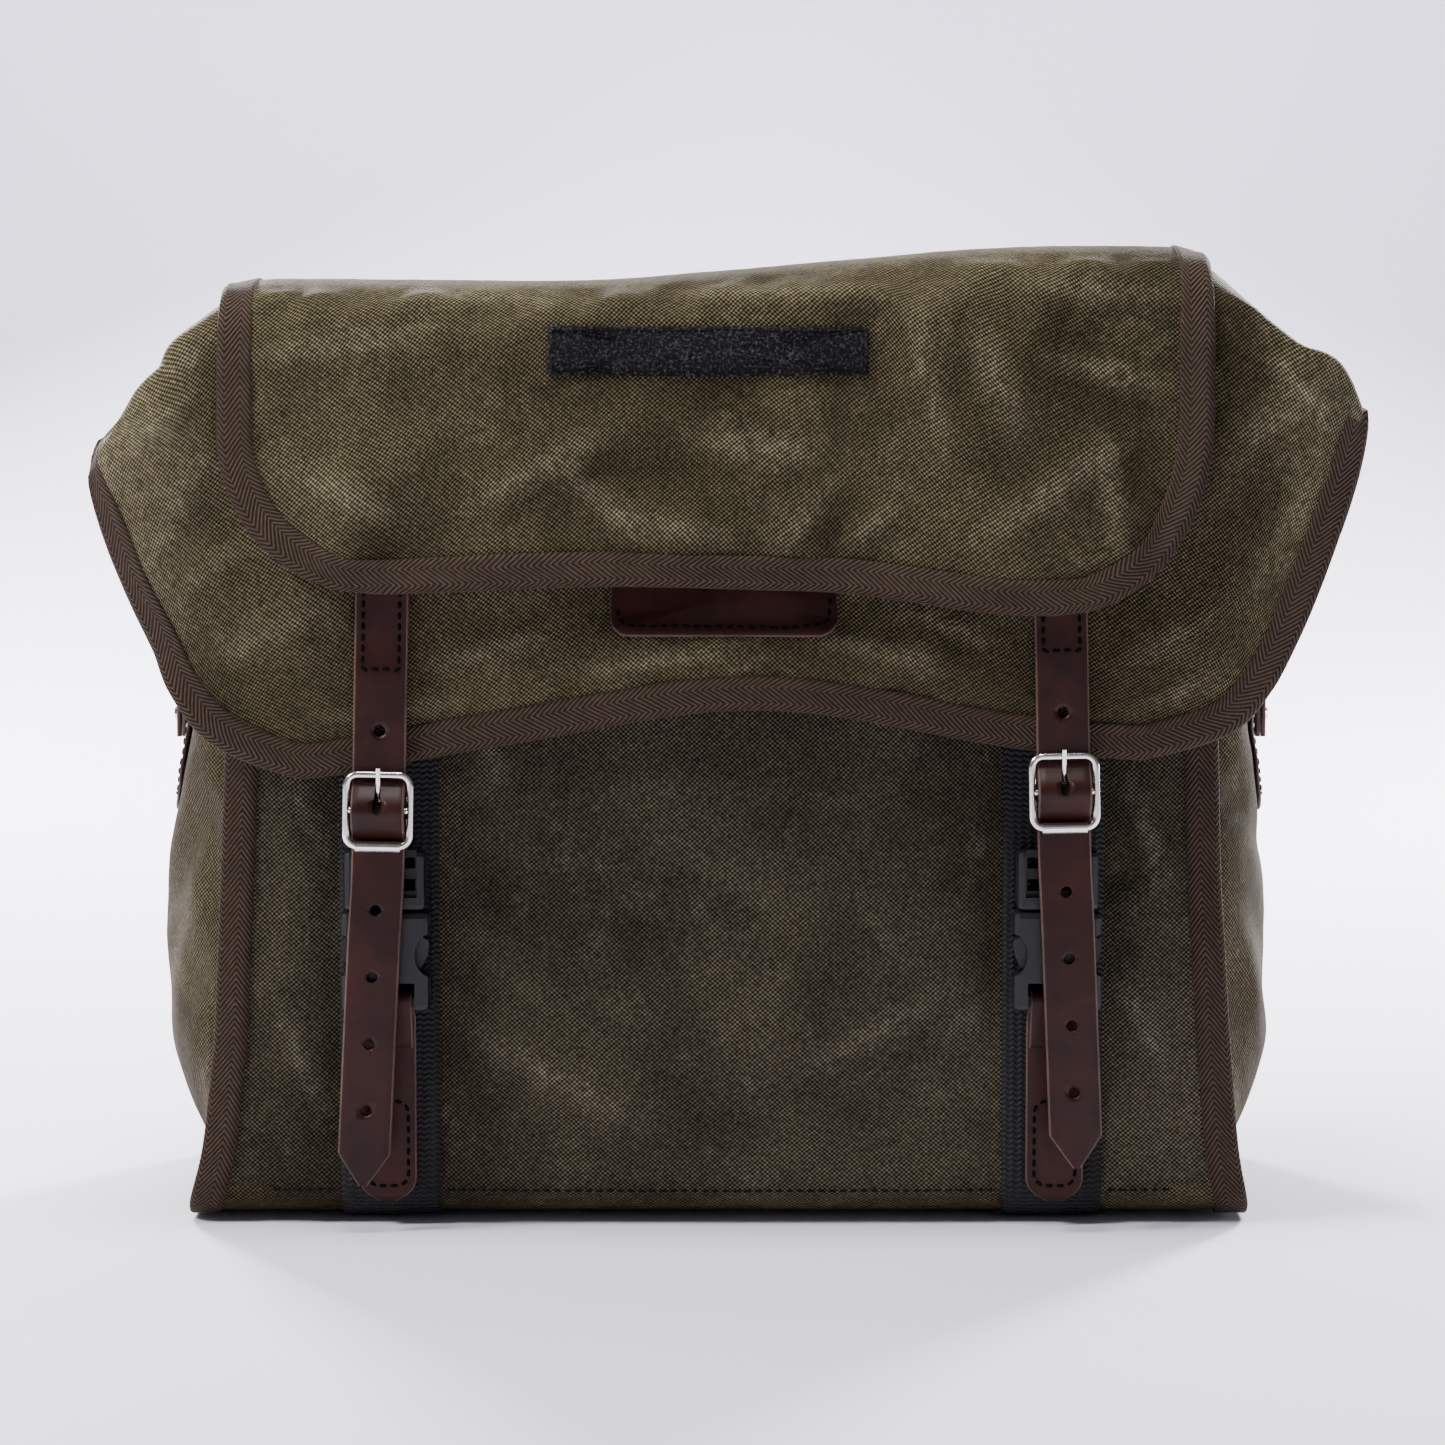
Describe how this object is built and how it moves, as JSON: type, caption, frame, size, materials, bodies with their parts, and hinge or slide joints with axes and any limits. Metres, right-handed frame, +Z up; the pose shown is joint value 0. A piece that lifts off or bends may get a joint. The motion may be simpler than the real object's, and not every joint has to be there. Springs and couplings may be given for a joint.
{
  "type": "saddlebag",
  "caption": "Soft waxed-canvas motorcycle side bag with a wide lid, a rounded overflap, leather straps with roller buckles, and plastic side-release clips.",
  "frame": {"origin": "centre of the object's footprint, on the surface it stands on", "axes": "+Z up, +Y towards the back that faces the motorcycle, +X to the viewer's right when the front is looked at"},
  "size_m": [0.4842, 0.2022, 0.3647],
  "materials": {
    "canvas": "waxed cotton canvas, olive, matt with pale creases",
    "tape": "brown herringbone cotton tape",
    "leather": "brown bridle leather, semi-gloss",
    "webbing": "black woven webbing",
    "plastic": "moulded, satin",
    "nickel": "polished nickel plate",
    "board": "plain sheet",
    "hook_loop": "black hook-and-loop tape"
  },
  "bodies": {
    "bag_body": {"front_panel": "canvas", "back_panel": "canvas", "base_panel": "canvas", "gusset_left": "canvas", "gusset_right": "canvas", "seam_binding_left": "tape", "seam_binding_right": "tape", "mouth_binding_front": "tape", "mouth_binding_left": "tape", "mouth_binding_right": "tape", "anchor_tab_left": "leather", "anchor_tab_right": "leather", "side_patch_left": "leather", "side_patch_right": "leather", "ring_chape_left": "leather", "ring_chape_right": "leather", "webbing_left": "webbing", "webbing_right": "webbing", "rack_loop_left": "webbing", "rack_loop_right": "webbing", "clip_socket_left": "plastic", "clip_socket_right": "plastic", "clip_plug_left": "plastic", "clip_plug_right": "plastic", "ring_rivet_left": "nickel", "ring_rivet_right": "nickel", "anchor_rivet_left": "nickel", "anchor_rivet_right": "nickel", "back_board": "board", "base_board": "board"},
    "lid": {"lid_panel": "canvas", "lid_binding": "tape", "lid_label": "leather", "pocket_panel": "canvas", "pocket_loop_tape": "hook_loop", "strap_anchor_left": "leather", "strap_anchor_right": "leather"},
    "overflap": {"overflap_panel": "canvas", "overflap_binding": "tape", "patch_strip": "hook_loop", "overflap_hook_tape": "hook_loop"},
    "strap_left": {"strap_left": "leather", "buckle_frame_left": "nickel", "buckle_link_left": "leather"},
    "buckle_pin_left": {"buckle_pin_left": "nickel"},
    "buckle_roller_left": {"buckle_roller_left": "nickel"},
    "d_ring_left": {"d_ring_left": "nickel"},
    "clip_arm_left_outer": {"clip_arm_left_outer": "plastic"},
    "clip_arm_left_inner": {"clip_arm_left_inner": "plastic"},
    "strap_right": {"strap_right": "leather", "buckle_frame_right": "nickel", "buckle_link_right": "leather"},
    "buckle_pin_right": {"buckle_pin_right": "nickel"},
    "buckle_roller_right": {"buckle_roller_right": "nickel"},
    "d_ring_right": {"d_ring_right": "nickel"},
    "clip_arm_right_outer": {"clip_arm_right_outer": "plastic"},
    "clip_arm_right_inner": {"clip_arm_right_inner": "plastic"}
  },
  "joints": [
    {"name": "lid_hinge", "type": "hinge", "parent": "bag_body", "child": "lid", "pos_m": [0, 0.0944, 0.3183], "axis": [-1, 0, 0], "range_deg": [0, 115]},
    {"name": "overflap_hinge", "type": "hinge", "parent": "lid", "child": "overflap", "pos_m": [0, 0.055, 0.3599], "axis": [-1, 0, 0], "range_deg": [0, 150]},
    {"name": "strap_swing_left", "type": "hinge", "parent": "lid", "child": "strap_left", "pos_m": [-0.1275, -0.0926, 0.2082], "axis": [-0.9998, 0, 0.0209], "range_deg": [0, 90]},
    {"name": "buckle_pin_lift_left", "type": "hinge", "parent": "strap_left", "child": "buckle_pin_left", "pos_m": [-0.12851, -0.09435, 0.16021], "axis": [0.9998, 0, -0.0209], "range_deg": [0, 8]},
    {"name": "buckle_roller_spin_left", "type": "hinge", "parent": "strap_left", "child": "buckle_roller_left", "pos_m": [-0.12879, -0.09435, 0.14666], "axis": [0.9998, 0, -0.0209], "continuous": true},
    {"name": "d_ring_swing_left", "type": "hinge", "parent": "bag_body", "child": "d_ring_left", "pos_m": [-0.21475, 0.01, 0.232], "axis": [0, -1, 0], "range_deg": [0, 190]},
    {"name": "clip_squeeze_left_outer", "type": "hinge", "parent": "bag_body", "child": "clip_arm_left_outer", "pos_m": [-0.1378, -0.0807, 0.1203], "axis": [0, -1, 0], "range_deg": [0, 11], "stiffness_Nm_per_rad": 0.4},
    {"name": "clip_squeeze_left_inner", "type": "hinge", "parent": "bag_body", "child": "clip_arm_left_inner", "pos_m": [-0.1162, -0.0807, 0.1203], "axis": [0, 1, 0], "range_deg": [0, 11], "stiffness_Nm_per_rad": 0.4},
    {"name": "strap_swing_right", "type": "hinge", "parent": "lid", "child": "strap_right", "pos_m": [0.1275, -0.0926, 0.2152], "axis": [-0.9998, 0, -0.0209], "range_deg": [0, 90]},
    {"name": "buckle_pin_lift_right", "type": "hinge", "parent": "strap_right", "child": "buckle_pin_right", "pos_m": [0.12851, -0.09435, 0.16721], "axis": [0.9998, 0, 0.0209], "range_deg": [0, 8]},
    {"name": "buckle_roller_spin_right", "type": "hinge", "parent": "strap_right", "child": "buckle_roller_right", "pos_m": [0.12879, -0.09435, 0.15366], "axis": [0.9998, 0, 0.0209], "continuous": true},
    {"name": "d_ring_swing_right", "type": "hinge", "parent": "bag_body", "child": "d_ring_right", "pos_m": [0.21475, 0.01, 0.232], "axis": [0, 1, 0], "range_deg": [0, 190]},
    {"name": "clip_squeeze_right_outer", "type": "hinge", "parent": "bag_body", "child": "clip_arm_right_outer", "pos_m": [0.1378, -0.0807, 0.1203], "axis": [0, 1, 0], "range_deg": [0, 11], "stiffness_Nm_per_rad": 0.4},
    {"name": "clip_squeeze_right_inner", "type": "hinge", "parent": "bag_body", "child": "clip_arm_right_inner", "pos_m": [0.1162, -0.0807, 0.1203], "axis": [0, -1, 0], "range_deg": [0, 11], "stiffness_Nm_per_rad": 0.4}
  ]
}
